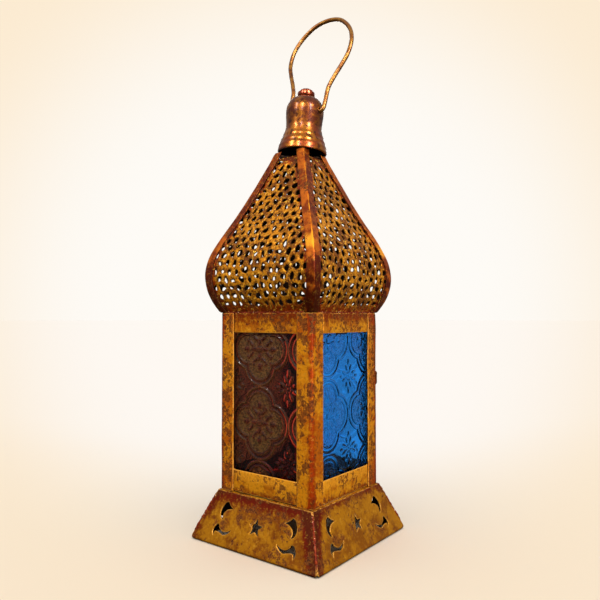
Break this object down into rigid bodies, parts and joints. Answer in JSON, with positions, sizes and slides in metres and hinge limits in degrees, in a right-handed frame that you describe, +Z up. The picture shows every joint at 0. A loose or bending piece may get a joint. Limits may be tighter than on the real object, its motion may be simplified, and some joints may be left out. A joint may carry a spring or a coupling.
{
  "type": "candle lantern",
  "caption": "Square metal candle lantern with coloured pressed-glass panes, a hinged rear door, a pierced pillow dome, a bell finial and a swinging wire handle.",
  "frame": {"origin": "centre of the base, on the surface that the lantern stands on", "axes": "+Z up; -Y front with the red pane, +X right with the blue pane, -X left with the green pane, +Y rear with the door"},
  "size_m": [0.1098, 0.1098, 0.3795],
  "materials": {
    "gold_leaf": "antique gold leaf rubbed through to a rust-brown undercoat, satin",
    "copper_leaf": "antique copper-gold leaf, worn on the edges, satin",
    "finial_brass": "aged reddish brass, semi-gloss",
    "handle_wire": "brass-plated wire, worn darker at its ends",
    "dark_steel": "brown-black painted steel, dull",
    "red_glass": "deep red pressed glass with a raised quatrefoil pattern",
    "blue_glass": "azure blue pressed glass with a raised quatrefoil pattern",
    "green_glass": "green pressed glass with a raised quatrefoil pattern",
    "straw_glass": "pale straw pressed glass with a raised quatrefoil pattern"
  },
  "bodies": {
    "lantern": {"base_panel_front": "gold_leaf", "base_panel_right": "gold_leaf", "base_panel_rear": "gold_leaf", "base_panel_left": "gold_leaf", "floor_plate": "gold_leaf", "candle_cup": "finial_brass", "candle_cup_rivet": "dark_steel", "corner_post_front_left": "copper_leaf", "corner_post_front_right": "copper_leaf", "corner_post_rear_right": "copper_leaf", "corner_post_rear_left": "copper_leaf", "bottom_rail_front": "gold_leaf", "bottom_rail_right": "gold_leaf", "bottom_rail_left": "gold_leaf", "top_rail_front": "gold_leaf", "top_rail_right": "gold_leaf", "top_rail_left": "gold_leaf", "glass_front_red": "red_glass", "glass_right_blue": "blue_glass", "glass_left_green": "green_glass", "glass_tab_front_upper": "dark_steel", "glass_tab_front_lower": "dark_steel", "glass_tab_right_upper": "dark_steel", "glass_tab_right_lower": "dark_steel", "glass_tab_left_upper": "dark_steel", "glass_tab_left_lower": "dark_steel", "dome_panel_front": "gold_leaf", "dome_panel_right": "gold_leaf", "dome_panel_rear": "gold_leaf", "dome_panel_left": "gold_leaf", "dome_rib_front_left": "copper_leaf", "dome_rib_front_right": "copper_leaf", "dome_rib_rear_right": "copper_leaf", "dome_rib_rear_left": "copper_leaf", "hinge_post_leaf_upper": "finial_brass", "hinge_pin_upper": "dark_steel", "hinge_post_leaf_lower": "finial_brass", "hinge_pin_lower": "dark_steel", "latch_rivet": "dark_steel", "crown_spider": "dark_steel", "finial_bell": "finial_brass", "finial_screw": "finial_brass", "finial_nut": "dark_steel"},
    "door": {"door_frame": "gold_leaf", "door_glass": "straw_glass", "door_glass_tab_upper": "dark_steel", "door_glass_tab_lower": "dark_steel", "door_knob": "finial_brass", "hinge_door_leaf_upper": "finial_brass", "hinge_door_leaf_lower": "finial_brass"},
    "latch": {"latch_button": "finial_brass"},
    "handle": {"handle_loop": "handle_wire"}
  },
  "joints": [
    {"name": "door_hinge", "type": "hinge", "parent": "lantern", "child": "door", "pos_m": [-0.0337, 0.0421, 0.0956], "axis": [0, 0, 1], "range_deg": [0, 165]},
    {"name": "latch_turn", "type": "hinge", "parent": "lantern", "child": "latch", "pos_m": [0.037, 0.0407, 0.112], "axis": [0, 1, 0], "range_deg": [0, 90]},
    {"name": "handle_swing", "type": "hinge", "parent": "lantern", "child": "handle", "pos_m": [0.00252, 0.00252, 0.30088], "axis": [0.9988, -0.0012, -0.0493], "range_deg": [-129, 158]}
  ]
}
